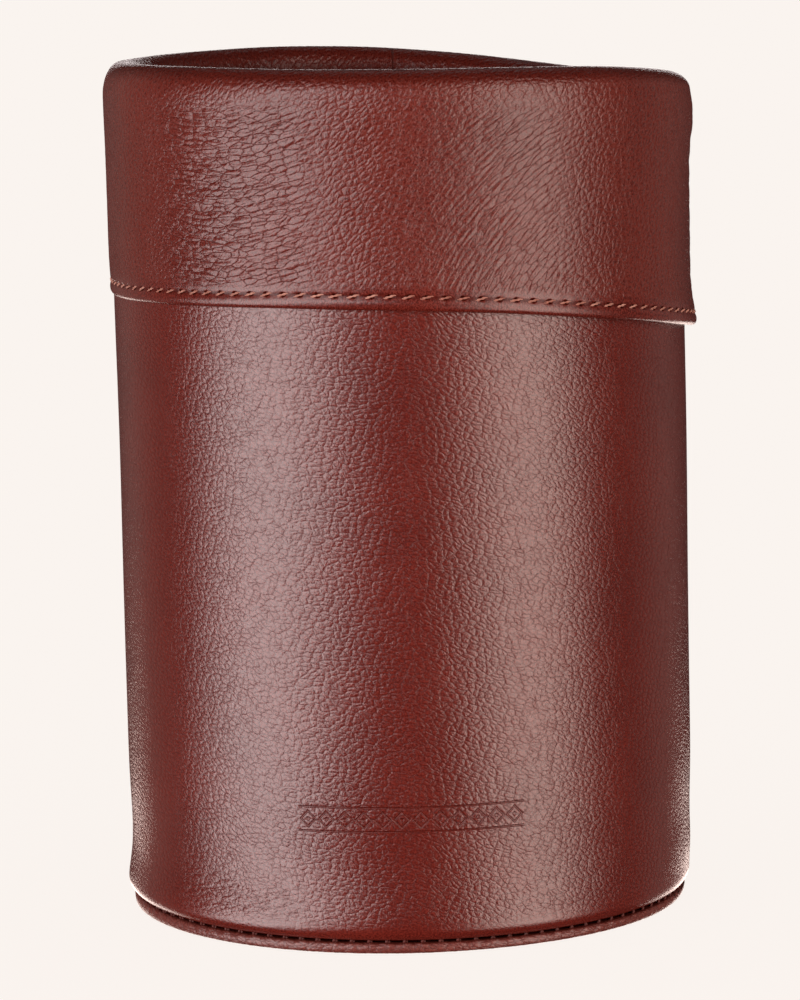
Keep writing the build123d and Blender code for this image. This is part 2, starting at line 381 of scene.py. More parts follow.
def leather_relief(n):
    """Heights, in millimetres, of the pebbles, creases and pressed ornament.

    The same nodes shape the mesh and the material, so that both show one grain.
    """
    skin = n.attribute("leather_uv", vector=True)
    grain = n.attribute("grain")
    mark = pressed_mark(n)

    slow = centred_noise(n, skin, 0.22, 2.0, 1.7)
    quick = centred_noise(n, skin, 1.2, 2.0, 0.25)
    warped = n.vector("ADD", n.vector("ADD", skin, slow), quick)
    patches = n.noise(skin, 0.45, 2.0).outputs["Fac"]
    firm = n.ramp(patches, 0.36, 0.62, 0.25, 1.0)

    slanted = n.make("ShaderNodeVectorRotate", rotation_type="Z_AXIS")
    n.put(slanted.inputs["Vector"], warped)
    n.put(slanted.inputs["Angle"], GRAIN_SLANT)
    cells = n.vector("MULTIPLY", slanted.outputs[0], (0.54, 0.98, 0.0))
    edge = n.cell_edge(cells)
    wide_line = n.math("MULTIPLY", n.groove(edge, 0.10, 1.0), firm)
    small_cells = n.vector("MULTIPLY", slanted.outputs[0], (1.3, 1.7, 0.0))
    small_edge = n.cell_edge(small_cells)
    fine_line = n.math("MULTIPLY", n.groove(small_edge, 0.12, 0.5), firm)
    line = n.math("MAXIMUM", wide_line, fine_line)
    facet = n.math("MULTIPLY", n.math("MINIMUM", edge, 0.34), PEBBLE_FACET)
    small_facet = n.math("MULTIPLY", n.math("MINIMUM", small_edge, 0.3), SMALL_FACET)
    pebble = n.math("ADD", n.math("ADD", facet, small_facet), n.dome(cells, PEBBLE_DOME))
    pebble = n.math("ADD", pebble, n.math("MULTIPLY", line, PEBBLE_GROOVE))
    crumple = n.math("SUBTRACT", n.noise(skin, 0.75, 4.0, 0.6).outputs["Fac"], 0.5)
    pebble = n.math("ADD", pebble, n.math("MULTIPLY", crumple, CRUMPLE))
    clear = n.math("MULTIPLY", grain, n.math("SUBTRACT", 1.0, n.math("MULTIPLY", mark, 0.8)))
    pebbles = n.math("MULTIPLY", pebble, clear)
    line = n.math("MULTIPLY", line, clear)
    rims = n.math("MULTIPLY", n.groove(edge, 0.3, 1.0), clear)

    even = n.ramp(patches, 0.3, 0.5, 0.55, 1.0)
    level, level_line = leather_creases(n, "crease_uv", "crease", even)
    fan, fan_line = leather_creases(n, "fan_uv", "fan", even)
    total = n.math("ADD", n.math("ADD", pebbles, level), fan)
    total = n.math("ADD", total, n.math("MULTIPLY", mark, -MARK_DEPTH))
    folds = n.math("MAXIMUM", level_line, fan_line)
    return total, line, rims, folds, mark


def press_relief(piece, share):
    """Move the mesh's points by a share of the leather's relief."""
    tree = bpy.data.node_groups.new("relief", "GeometryNodeTree")
    tree.interface.new_socket("Geometry", in_out="INPUT", socket_type="NodeSocketGeometry")
    tree.interface.new_socket("Geometry", in_out="OUTPUT", socket_type="NodeSocketGeometry")
    n = Nodes(tree)
    height = leather_relief(n)[0]
    normal = n.make("GeometryNodeInputNormal").outputs[0]
    scaled = n.make("ShaderNodeVectorMath", operation="SCALE")
    n.put(scaled.inputs[0], normal)
    n.put(scaled.inputs["Scale"], n.math("MULTIPLY", height, share * MM))
    move = n.make("GeometryNodeSetPosition")
    start = n.make("NodeGroupInput")
    end = n.make("NodeGroupOutput")
    tree.links.new(start.outputs[0], move.inputs["Geometry"])
    tree.links.new(scaled.outputs[0], move.inputs["Offset"])
    tree.links.new(move.outputs[0], end.inputs[0])
    modifier = piece.modifiers.new("relief", "NODES")
    modifier.node_group = tree
    graph = bpy.context.evaluated_depsgraph_get()
    shaped = bpy.data.meshes.new_from_object(piece.evaluated_get(graph))
    piece.modifiers.clear()
    old = piece.data
    piece.data = shaped
    shaped.name = piece.name
    bpy.data.meshes.remove(old)
    bpy.data.node_groups.remove(tree)


# ---------------------------------------------------------------- materials

def new_material(name):
    material = bpy.data.materials.new(name)
    material.use_nodes = True
    n = Nodes(material.node_tree)
    shader = material.node_tree.nodes["Principled BSDF"]
    return material, n, shader


def leather_material(name, deep, mid, worn, crease, roughness, gloss):
    """Pebbled leather, paler where handled, with painted light in its colour: a crease colour round the
    pebbles (painted shade where it is darker, a painted highlight on the cuff leather where it is
    paler), and painted shade in its folds, stitch holes, stitch tracks and shaded places.
    """
    material, n, shader = new_material(name)
    skin = n.attribute("leather_uv", vector=True)
    relief, lines, rims, folds, mark = leather_relief(n)
    stitch = n.attribute("stitch_uv", vector=True)
    shade = n.attribute("shade")

    patches = n.noise(skin, 0.045, 3.0).outputs["Fac"]
    fine = n.noise(skin, 2.4, 4.0, 0.65).outputs["Fac"]
    tone = n.math("ADD", n.math("MULTIPLY", patches, 0.15), n.math("MULTIPLY", fine, 0.85))
    color = n.mix(n.ramp(tone, 0.43, 0.57), mid, worn)
    # Painted light: the crease colour along the pebbles' edges is painted shade where it is darker than
    # the leather and a painted highlight where it is paler (the cuff leather); the folds get painted
    # shade, mixed towards deep.
    tint = n.math("MAXIMUM", n.math("MULTIPLY", lines, 0.75), n.math("MULTIPLY", rims, 0.5))
    color = n.mix(tint, color, crease)
    color = n.mix(n.math("MULTIPLY", folds, 0.4), color, deep)
    low = n.math("MAXIMUM", n.math("MULTIPLY", lines, 0.75), n.math("MULTIPLY", folds, 0.5))

    parts = n.make("ShaderNodeSeparateXYZ")
    n.put(parts.inputs[0], stitch)
    phase = n.math("SUBTRACT", n.math("FRACT", parts.outputs[0]), 0.5)
    along = n.math("MULTIPLY", n.math("ABSOLUTE", phase), STITCH_PITCH)
    across = n.math("ABSOLUTE", parts.outputs[1])
    long = n.math("MULTIPLY", along, 0.75)
    reach = n.math("SQRT", n.math("ADD", n.math("POWER", long, 2.0), n.math("POWER", across, 2.0)))
    # Painted shade: the stitch holes, the stitch track and the places in the shade attribute (seams,
    # grooves, the cuff's inward faces and rim) are darkened towards half of deep; the pressed ornament's
    # lines are darkened a little too.
    hole = n.math("MULTIPLY", n.ramp(reach, 0.2, 0.7, 0.85, 0.0), parts.outputs[2])
    track = n.math("MULTIPLY", n.ramp(across, 0.2, 0.6, 0.42, 0.0), parts.outputs[2])
    dark = n.math("MAXIMUM", n.math("MAXIMUM", hole, track), shade)
    dark = n.math("MAXIMUM", dark, n.math("MULTIPLY", mark, 0.2))
    color = n.mix(dark, color, (deep[0] * 0.5, deep[1] * 0.5, deep[2] * 0.5, 1.0))
    n.put(shader.inputs["Base Color"], color)

    rough = n.math("ADD", roughness, n.math("MULTIPLY", n.math("SUBTRACT", fine, 0.5), 0.12))
    rough = n.math("ADD", rough, n.math("MULTIPLY", low, 0.12))
    n.put(shader.inputs["Roughness"], rough)
    shine = n.math("SUBTRACT", gloss, n.math("MULTIPLY", low, gloss * 0.9))
    shine = n.math("MULTIPLY", shine, n.math("SUBTRACT", 1.0, n.math("MULTIPLY", dark, 1.4), clamp=True))
    n.put(shader.inputs["Specular IOR Level"], shine)

    pores = n.math("MULTIPLY", n.noise(skin, 2.6, 4.0, 0.65).outputs["Fac"], 0.05)
    height = n.math("ADD", n.math("ADD", relief, pores), n.math("MULTIPLY", hole, -0.35))
    bump = n.make("ShaderNodeBump")
    bump.inputs["Strength"].default_value = 1.0
    bump.inputs["Distance"].default_value = MM
    n.put(bump.inputs["Height"], height)
    n.put(shader.inputs["Normal"], bump.outputs[0])
    return material


def thread_material(name, pale, dark):
    """Waxed thread: uneven dye and fine fibres."""
    material, n, shader = new_material(name)
    coords = n.make("ShaderNodeTexCoord").outputs["Object"]
    tone = n.noise(coords, 900.0, 3.0, 0.6).outputs["Fac"]
    slow = n.noise(coords, 60.0, 2.0).outputs["Fac"]
    blend = n.math("ADD", n.math("MULTIPLY", tone, 0.5), n.math("MULTIPLY", slow, 0.5))
    color = n.mix(n.ramp(blend, 0.35, 0.65), dark, pale)
    n.put(shader.inputs["Base Color"], color)
    n.put(shader.inputs["Roughness"], n.ramp(tone, 0.2, 0.8, 0.5, 0.7))
    shader.inputs["Specular IOR Level"].default_value = 0.3
    bump = n.make("ShaderNodeBump")
    bump.inputs["Distance"].default_value = 0.06 * MM
    n.put(bump.inputs["Height"], n.noise(coords, 2600.0, 2.0).outputs["Fac"])
    n.put(shader.inputs["Normal"], bump.outputs[0])
    return material


def board_material(name):
    """Pressed fibreboard: matt, speckled with fibres."""
    material, n, shader = new_material(name)
    coords = n.make("ShaderNodeTexCoord").outputs["Object"]
    speck = n.noise(coords, 700.0, 4.0, 0.7).outputs["Fac"]
    color = n.mix(n.ramp(speck, 0.3, 0.7), (0.17, 0.12, 0.08, 1.0), (0.34, 0.26, 0.18, 1.0))
    n.put(shader.inputs["Base Color"], color)
    n.put(shader.inputs["Roughness"], n.ramp(speck, 0.3, 0.7, 0.8, 0.95))
    bump = n.make("ShaderNodeBump")
    bump.inputs["Distance"].default_value = 0.1 * MM
    n.put(bump.inputs["Height"], speck)
    n.put(shader.inputs["Normal"], bump.outputs[0])
    return material


# The crease colours are painted light: darker than mid as painted shade in the pebbles' grooves, and on
# the cuff leather paler than mid as a painted highlight on the grooves' steep sides.
oxblood = leather_material(
    "oxblood_leather",
    deep=(0.034, 0.003, 0.002, 1.0),
    mid=(0.050, 0.0038, 0.0021, 1.0),
    worn=(0.098, 0.0112, 0.0067, 1.0),
    crease=(0.036, 0.0030, 0.0020, 1.0),
    roughness=0.225,
    gloss=0.6,
)
oxblood_creased = leather_material(
    "oxblood_creased_leather",
    deep=(0.030, 0.003, 0.002, 1.0),
    mid=(0.040, 0.0030, 0.0016, 1.0),
    worn=(0.096, 0.0125, 0.0078, 1.0),
    # A paler crease colour: painted highlight on the pebbles' steep sides.
    crease=(0.088, 0.0120, 0.0070, 1.0),
    roughness=0.27,
    gloss=0.45,
)
oxblood_rough = leather_material(
    "oxblood_rough_leather",
    deep=(0.030, 0.003, 0.002, 1.0),
    mid=(0.070, 0.0110, 0.0075, 1.0),
    worn=(0.125, 0.0290, 0.0210, 1.0),
    crease=(0.040, 0.0050, 0.0035, 1.0),
    roughness=0.36,
    gloss=0.5,
)
brown = leather_material(
    "brown_lining_leather",
    deep=(0.020, 0.008, 0.005, 1.0),
    mid=(0.060, 0.022, 0.015, 1.0),
    worn=(0.085, 0.034, 0.022, 1.0),
    crease=(0.020, 0.008, 0.005, 1.0),
    roughness=0.5,
    gloss=0.4,
)
tan_thread = thread_material("tan_thread", (0.34, 0.175, 0.135, 1.0), (0.20, 0.072, 0.048, 1.0))
russet_thread = thread_material(
    "russet_thread", (0.062, 0.0085, 0.0052, 1.0), (0.038, 0.0045, 0.0028, 1.0))
fibreboard = board_material("fibreboard")


# ---------------------------------------------------------------- leather pieces

def finish_leather(piece, rows, angles, radius, material, share, grain, crease=None, flow=None,
                   fan=None, fan_flow=None, stitch=None, shade=None, mark=None, poles=0, stretch=1.0):
    """Store what the grain needs, press it into the mesh and dress the piece."""
    down = path_length(rows)
    around = angles * radius
    u = np.tile(around, (len(down), 1))
    v = np.tile(down[:, None] / stretch, (1, len(around)))
    flat = np.zeros_like(u)

    def column(values):
        values = np.broadcast_to(flat if values is None else values, flat.shape).ravel()
        return np.concatenate([values, np.zeros(poles)])

    def columns(values):
        return np.stack([column(value) for value in values], axis=-1)

    set_attribute(piece, "leather_uv", columns((u, v, flat)))
    set_attribute(piece, "grain", column(grain))
    set_attribute(piece, "crease", column(crease))
    set_attribute(piece, "crease_uv", columns(flow or (flat, flat, flat)))
    set_attribute(piece, "fan", column(fan))
    set_attribute(piece, "fan_uv", columns(fan_flow or (flat, flat, flat)))
    set_attribute(piece, "mark_uv", columns(mark or (flat, flat + 9.0, flat)))
    set_attribute(piece, "stitch_uv", columns(stitch or (flat, flat + 9.0, flat)))
    set_attribute(piece, "shade", column(shade))
    outward(piece)
    if share:
        press_relief(piece, share)
    piece.data.materials.clear()
    piece.data.materials.append(material)


def make_wall():
    """The leather round the body, rounded in at its foot and turned under the board."""
    mark_reach = (MARK_HALF + 0.6) / WALL_RADIUS
    angles = ring_angles(500, [(0.0, mark_reach, 0.34 / WALL_RADIUS), (math.pi, 0.02, 0.0025)])
    groove = groove_height(angles)
    lip = groove + 0.26
    rows = [at_angle(angles, radius + 0 * angles, lip) for radius in (60.0, 61.8, 63.0)]
    foot = 3.6
    foot_sweep = math.radians(50.0)
    hub_z = lip + 0.25 + foot * math.sin(foot_sweep)
    turn_in = wall_radius(angles, hub_z) - foot + foot * math.cos(foot_sweep)
    rows.append(at_angle(angles, turn_in - 0.35, lip + 0.03))
    for lean in np.linspace(-foot_sweep, 0, 11):
        z = hub_z + foot * math.sin(lean)
        radius = wall_radius(angles, z) - foot + foot * math.cos(lean)
        rows.append(at_angle(angles, radius, z))
    hidden_from = 147.0
    levels = list(np.linspace(hub_z.max() + 1.0, MARK_HEIGHT - 4.0, 18))
    levels += list(np.arange(MARK_HEIGHT - 3.6, MARK_HEIGHT + 3.7, 0.34))
    levels += list(np.linspace(MARK_HEIGHT + 4.4, hidden_from, 86))
    levels += list(np.linspace(hidden_from + 6, wall_high[2], 5))
    for z in levels:
        rows.append(at_angle(angles, wall_radius(angles, z), z + 0 * angles))
    shown = len(rows)
    for z in np.linspace(wall_high[2], 14.0, 5):
        rows.append(at_angle(angles, WALL_INNER + 0 * angles, z + 0 * angles))
    for lean in (0, -30, -60):
        lean = math.radians(lean)
        radius = 60.5 + 3.0 * math.cos(lean)
        height = 7.5 + 3.0 * math.sin(lean)
        rows.append(at_angle(angles, radius + 0 * angles, height + 0 * angles))
    rows.append(at_angle(angles, 60.0 + 0 * angles, lip + 1.5))
    rows = np.array(rows)

    z = rows[:, :, 2]
    outer = np.zeros_like(z)
    outer[3:shown] = 1.0
    seam_gap = np.abs(np.abs(angles) - math.pi) * WALL_RADIUS
    sink = 0.55 * hump(seam_gap, 0, 0.35) * outer
    puff = wander(angles, 21, (6, 9, 13)) * 0.05
    scale = 1.0 - (sink - puff * outer) / WALL_RADIUS
    rows[:, :, 0] *= scale
    rows[:, :, 1] *= scale
    piece = sweep_rows("outer_wall_leather", rows)

    u = angles[None, :] * WALL_RADIUS + 0 * z
    grain = (0.85 + 0.3 * wander(angles, 22, (3, 5, 8))[None, :]) * smooth(z, 3.0, 9.0)
    grain = np.clip(grain, 0.0, 1.15) * outer
    # creases where the foot is pulled in, strongest at the front left
    lift = z - 4.0
    pulled = hump(angles, -0.62, 0.32) + 0.6 * hump(angles, 2.2, 0.4) + 0.6 * hump(angles, -2.4, 0.3)
    crease = 0.55 * hump(z, 11.0, 4.5) * pulled[None, :] * outer
    flow = ((u * 0.97 + lift * 0.25) / 6.5, (lift * 0.97 - u * 0.22) / 1.6, 0 * z)
    seam_row = np.abs(seam_gap - 3.0)[None, :] + 0 * z
    at_seam = (seam_gap < 6.0)[None, :] * outer
    stitch = (z / STITCH_PITCH + 0.5, np.where(at_seam, seam_row, 9.0), 1.0 * at_seam)
    # Painted shade: darker along the sunk seam at the back and in the groove at the wall's foot.
    shade = 0.8 * hump(seam_gap, 0, 0.3)[None, :] * outer
    shade[:4] = 0.6
    finish_leather(piece, rows, angles, WALL_RADIUS, oxblood, 0.2, grain, crease, flow,
                   stitch=stitch, shade=shade, mark=(u, z - MARK_HEIGHT, 0 * z + outer))
    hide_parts("outer_wall")
    return piece


def cuff_section(angles):
    """Rows of points from inside, over the rim and down to the hem, then back."""
    crest = rim_height(angles)
    hem = hem_height(angles)
    rise = 5.6 - 1.9 * np.sin(angles) - 0.7 * np.cos(angles)
    fold = crest - rise
    rows = []
    kinds = []

    def add(radius, z, kind):
        rows.append(at_angle(angles, radius, z))
        kinds.append(kind)

    for t in np.linspace(0.0, 1.0, 22):
        z = FACING_BOTTOM + 0.6 + t * (fold - FACING_BOTTOM - 0.6)
        add(facing_radius(angles, z), z, "facing")
    inside = facing_radius(angles, fold)
    outside = cuff_radius(angles, fold)
    centre = (inside + outside) / 2
    half = (outside - inside) / 2
    for turn in np.linspace(180, 0, 29)[1:-1]:
        turn = math.radians(turn)
        z = fold + rise * math.sin(turn)
        edge = cuff_radius(angles, z) if turn < math.pi / 2 else facing_radius(angles, z)
        add(centre + np.abs(edge - centre) * math.cos(turn), z, "fold")
    drop_rows = 70
    roll = 1.15
    stitch_rise = HEM_ROW_RISE
    for t in np.linspace(0.0, 1.0, drop_rows):
        z = fold + t * (hem + stitch_rise + 1.0 - fold)
        add(cuff_radius(angles, z), z, "drop")
    for rise_mm, sink in (
        (3.7, 0.05), (3.35, 0.17), (3.05, 0.22), (2.75, 0.14), (2.3, -0.02), (1.8, -0.14), (1.3, -0.14),
    ):
        z = hem + rise_mm
        add(cuff_radius(angles, z) - sink, z, "hem")
    hem_radius = cuff_radius(angles, hem + roll)
    for lean in np.linspace(-15, -165, 8):
        lean = math.radians(lean)
        add(hem_radius + 0.1 - roll + roll * math.cos(lean), hem + roll + roll * math.sin(lean), "hem")
    for rise_mm, thick in ((2.2, 2.3), (6.0, 2.2), (8.0, 1.15), (20.0, 1.15), (34.0, 1.15)):
        z = hem + rise_mm
        radius = np.maximum(cuff_radius(angles, z) - thick, wall_radius(angles, z) + 0.06)
        add(radius, z, "back")
    for turn in np.linspace(0, 180, 10):
        turn = math.radians(turn)
        add(centre + (half - 1.3) * math.cos(turn), fold + (rise - 1.3) * math.sin(turn), "back")
    for t in np.linspace(0.25, 1.0, 4):
        z = fold + t * (FACING_BOTTOM + 0.5 - fold)
        add(facing_radius(angles, z) + 1.35, z, "back")
    add(facing_radius(angles, FACING_BOTTOM + 0 * fold) + 0.7, FACING_BOTTOM + 0 * fold, "back")
    return np.array(rows), np.array(kinds), crest, hem


def level_creases(u, z):
    """Creases that lie nearly level: how much, and the way they run, round the cuff."""
    amount = 0 * u
    run = 0 * u
    step = 0 * u
    for centre, width, tilt in ((-39.0, 26.0, 0.07), (112.0, 32.0, -0.1), (-150.0, 32.0, 0.08)):
        here = smooth(hump(u, centre, width), 0.33, 0.75)
        lift = (z - 165.0) - 0.006 * (u - centre) ** 2 * math.copysign(1.0, tilt)
        inside = here > 0
        amount = np.where(inside, here, amount)
        run = np.where(inside, (u + tilt * lift) / 3.4 + centre, run)
        step = np.where(inside, (lift - tilt * (u - centre)) / 1.32, step)
    return amount, run, step


def arc_creases(u, z):
    """Fine creases that rise from the hem and bend over to the right."""
    amount = 0 * u
    run = 0 * u
    step = 0 * u
    for centre, side in ((25.0, 1.0), (-95.0, -1.0), (170.0, 1.0)):
        across = 44.0 - side * (u - centre)
        lift = z - 112.0
        reach = np.hypot(across, lift)
        swing = np.arctan2(lift, across)
        here = np.clip((hump(u, centre, 20.0) - 0.12) / 0.88, 0, 1)
        inside = here > 0
        amount = np.where(inside, 0.8 * here, amount)
        run = np.where(inside, swing * 15.0 + centre, run)
        step = np.where(inside, reach / 1.25, step)
    return amount, run, step


def make_cuff():
    """The turned-down cuff: facing, rim, outside leg and stitched hem."""
    angles = ring_angles(600, [(math.pi, 0.16, 0.0075)])
    rows, kinds, crest, hem = cuff_section(angles)
    z = rows[:, :, 2]
    u = np.tile(angles * cuff_high[0], (len(rows), 1))
    kind = kinds[:, None]
    seen = (kind != "back") * np.ones_like(z)
    outside = ((kind == "drop") | (kind == "hem") | (kind == "fold")) * np.ones_like(z)

    # the lap at the back: one end of the strip lies on the other
    side = np.where(angles > 0, (angles - math.pi) * cuff_high[0], (angles + math.pi) * cuff_high[0])
    lap = 0.75 * smooth(side, -6.6, -5.6) * (1 - smooth(side, 5.0, 14.0))
    under_rim = smooth(rim_height(angles) - z, 2.0, 9.0)
    swell = lap[None, :] * outside * under_rim

    # long soft swells, and dimples under the stitches
    stitch_phase = angles / TURN * hem_count
    near_hole = np.abs(stitch_phase - np.floor(stitch_phase) - 0.5) * STITCH_PITCH
    from_row = z - (hem + HEM_ROW_RISE)
    dimple = 0.16 * hump(near_hole, 0, 0.8)[None, :] * hump(from_row, 0, 0.8) * outside
    amount, run, step = level_creases(u, z)
    fan, fan_run, fan_step = arc_creases(u, z)
    below_rim = smooth(crest - z, 3.0, 12.0)
    soft = 0.07 * np.sin(step * 1.55 + 1.3 * np.sin(run * 2.1)) * amount * smooth(from_row, 1.5, 5.0)
    soft = soft * (kind == "drop") * below_rim
    scale = 1.0 + (swell - dimple + soft) / cuff_high[0]
    rows[:, :, 0] *= scale
    rows[:, :, 1] *= scale
    piece = sweep_rows("cuff_leather", rows)

    fade = smooth(from_row, 0.7, 2.8)
    calm = 1.0 - 0.7 * np.clip(amount * below_rim, 0, 1) - 0.8 * fan * below_rim
    grain = seen * 1.2 * calm * np.where(kind == "drop", fade, 1.0) * (kind != "hem")
    grain = grain + 0.25 * (kind == "hem")
    crease = amount * outside * (kind != "hem") * np.where(kind == "drop", fade, 1.0) * below_rim
    # at the rim, the second set of creases is the fine one where the leather bends over it
    rim_zone = seen * (kind != "hem") * (1 - smooth(crest - z, 1.0, 4.5))
    down = path_length(rows)[:, None] + 0 * u
    fan = fan * (kind == "drop") * fade * smooth(crest - z, 4.5, 12.0)
    at_rim = rim_zone > 0
    fan = np.where(at_rim, 0.7 * rim_zone * (0.6 + 0.4 * wander(angles, 33, (2, 3, 5)))[None, :], fan)
    fan_run = np.where(at_rim, (down - 0.5 * u) / 5.0, fan_run)
    fan_step = np.where(at_rim, (u + 0.5 * down) / 2.2, fan_step)
    flow = (run, step, 0 * u)
    fan_flow = (fan_run, fan_step, 0 * u)
    facing_phase = angles / TURN * facing_count
    inside = (kind == "facing") * np.ones_like(z)
    stitch = (
        np.where(inside > 0, facing_phase[None, :], stitch_phase[None, :]),
        np.where(inside > 0, z - FACING_ROW, from_row),
        1.0 * ((kind == "drop") | (kind == "hem") | (kind == "facing")) * np.ones_like(z),
    )
    # Painted shade: a thin dark line along the lap's edge, the cuff's inward faces darker from just
    # below the crest downwards, and a darker band just below the rim's crest.
    lap_edge = 0.7 * hump(side + 6.7, 0, 0.45)[None, :] * outside * under_rim
    faces_in = (kind == "facing") | (kind == "fold") & (rows_radius(rows) < RIM_MIDDLE)
    inner = faces_in * smooth(crest - z, 0.6, 6.0) * 0.62
    painted_rim_shade = 0.4 * (kind == "fold") * (1 - smooth(crest - z, 1.0, 4.0))
    shade = np.maximum(np.maximum(lap_edge, inner), painted_rim_shade)
    finish_leather(piece, rows, angles, cuff_high[0], oxblood_creased, 0.35, grain, crease, flow,
                   fan, fan_flow, stitch, shade, stretch=1.35)
    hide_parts("cuff")
    return piece


def make_lining():
    """The lining of the inside, with its joint at the back."""
    angles = ring_angles(360, [(math.pi, 0.03, 0.004)])
    rows = []
    bottom = lining_low[2]
    for z in np.linspace(bottom, lining_high[2], 60):
        tight = hump(z, bottom, 10) + hump(z, FACING_BOTTOM, 12)
        puff = 0.3 * (1 - np.clip(tight, 0, 1)) * (0.6 + wander(angles + 0.01 * z, 51))
        radius = LINING_INNER - np.clip(puff, 0.0, 0.6)
        rows.append(at_angle(angles, radius, z + 0 * angles))
    for z in np.linspace(lining_high[2], bottom, 4):
        rows.append(at_angle(angles, LINING_OUTER + 0 * angles, z + 0 * angles))
    rows = np.array(rows)
    inner = np.ones(rows.shape[:2])
    inner[-4:] = 0
    gap = np.abs(np.abs(angles) - math.pi) * LINING_INNER
    scale = 1.0 + 0.5 * hump(gap, 0, 0.35) * inner / LINING_INNER
    rows[:, :, 0] *= scale
    rows[:, :, 1] *= scale
    piece = sweep_rows("lining_wall_leather", rows)
    # Painted shade along the sunk seam at the back.
    shade = 0.8 * hump(gap, 0, 0.3)[None, :] * inner
    finish_leather(piece, rows, angles, LINING_INNER, brown, 0.5, 0.5 * inner, shade=shade)
    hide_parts("lining_wall")
    return piece


def make_floor():
    """The lining of the floor, gently uneven."""
    angles = ring_angles(180)
    top = floor_high[2]
    bottom = floor_low[2]
    radii = np.linspace(1.5, LINING_OUTER - 0.7, 44)
    rows = []
    for r in radii:
        dip = 0.12 * (1 - smooth(r, 40, 58))
        uneven = 0.06 * wander(angles + r * 0.05, 61) * smooth(r, 4, 30)
        rows.append(at_angle(angles, r + 0 * angles, top - dip + uneven))
    for lean in (45, 0, -45):
        lean = math.radians(lean)
        middle = (top + bottom) / 2
        half = (top - bottom) / 2
        radius = LINING_OUTER - 0.6 + 0.55 * math.cos(lean)
        height = middle + half * math.sin(lean)
        rows.append(at_angle(angles, radius + 0 * angles, height + 0 * angles))
    for r in (LINING_OUTER - 1.0, 30.0, 1.5):
        rows.append(at_angle(angles, r + 0 * angles, bottom + 0 * angles))
    rows = np.array(rows)
    piece = sweep_rows("floor_lining_leather", rows, (0, 0, top - 0.12), (0, 0, bottom))
    grain = np.zeros(rows.shape[:2])
    grain[:44] = 0.45
    finish_leather(piece, rows, angles, 30.0, brown, 0.0, grain, poles=2)
    flat_uv = np.empty(len(piece.data.vertices) * 3, dtype=np.float32)
    piece.data.vertices.foreach_get("co", flat_uv)
    flat_uv = flat_uv.reshape(-1, 3) / np.float32(MM)
    flat_uv[:, 2] = 0
    piece.data.attributes["leather_uv"].data.foreach_set("vector", flat_uv.ravel())
    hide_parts("floor_lining")
    return piece


def make_base():
    """The leather wrapped round the base board: flat below, scalloped at its edge."""
    angles = ring_angles(808)
    groove = groove_height(angles)
    phase = angles / TURN * base_count
    pull = np.cos(phase * TURN)
    rim = base_edge(angles)
    rows = [at_angle(angles, r + 0 * angles, 0.0 * angles) for r in (2.0, 20.0, 40.0, 52.0, 58.0, 61.0)]
    rows += [at_angle(angles, rim - inset, 0.0 * angles) for inset in (1.6, 0.9)]
    lip = groove - 0.26
    profile = ((0.02, -0.38), (0.08, -0.16), (0.18, 0.0), (0.32, 0.1), (0.5, 0.14),
               (0.66, 0.08), (0.8, -0.06), (0.9, -0.25), (0.97, -0.5), (1.0, -0.85))
    for t, out in profile:
        scallop = 0.12 * pull * smooth(np.array(t), 0.3, 0.9)
        z = lip * t - 0.14 * (0.5 + 0.5 * pull) * smooth(np.array(t), 0.6, 1.0)
        rows.append(at_angle(angles, rim + out - scallop, z))
    top = np.minimum(lip - 0.1, cover_high[2])
    skin = 0.8
    rows += [at_angle(angles, r + 0 * angles, top) for r in (62.0, 60.0, 56.0)]
    rows += [at_angle(angles, 56.0 + 0 * angles, top - 0.1)]
    rows += [at_angle(angles, 63.1 + 0 * angles, top - 0.12)]
    rows += [at_angle(angles, 63.4 + 0 * angles, skin + 0.4 + 0 * angles)]
    rows += [at_angle(angles, r + 0 * angles, skin + 0 * angles) for r in (63.1, 30.0, 2.0)]
    rows = np.array(rows)
    piece = sweep_rows("base_cover_leather", rows, (0, 0, 0), (0, 0, skin))
    grain = np.zeros(rows.shape[:2])
    grain[:18] = 1.0
    # Painted shade on the top of the flange and in the groove under the wall's foot.
    shade = np.zeros(rows.shape[:2])
    shade[16:] = 0.55
    shade[15] = 0.2
    finish_leather(piece, rows, angles, cover_high[0], oxblood_rough, 0.5, grain, shade=shade, poles=2)
    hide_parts("base_cover")
    return piece


# ---------------------------------------------------------------- stitches

def thread_template(length, bury, lift, ply=0.2, turns=1.6):
    """Two plies twisted together, their ends sunk below the leather."""
    points = []
    faces = []
    steps = 15
    sides = 7
    for half in range(2):
        start = len(points)
        for i in range(steps):
            t = i / (steps - 1)
            x = (t - 0.5) * length
            z = -bury + (bury + lift) * math.sin(math.pi * t) ** 0.55
            spin = TURN * turns * t + math.pi * half
            cy = 0.8 * ply * math.cos(spin)
            cz = 0.8 * ply * math.sin(spin)
            taper = 0.6 + 0.4 * math.sin(math.pi * t) ** 0.4
            for k in range(sides):
                around = TURN * k / sides
                reach = ply * taper
                points.append((x, cy + reach * math.cos(around), z + cz + reach * math.sin(around)))
        for i in range(steps - 1):
            for k in range(sides):
                a = start + i * sides + k
                b = start + i * sides + (k + 1) % sides
                faces.append((a, b, b + sides, a + sides))
        faces.append(tuple(start + k for k in range(sides))[::-1])
        faces.append(tuple(start + (steps - 1) * sides + k for k in range(sides)))
    return np.array(points), faces


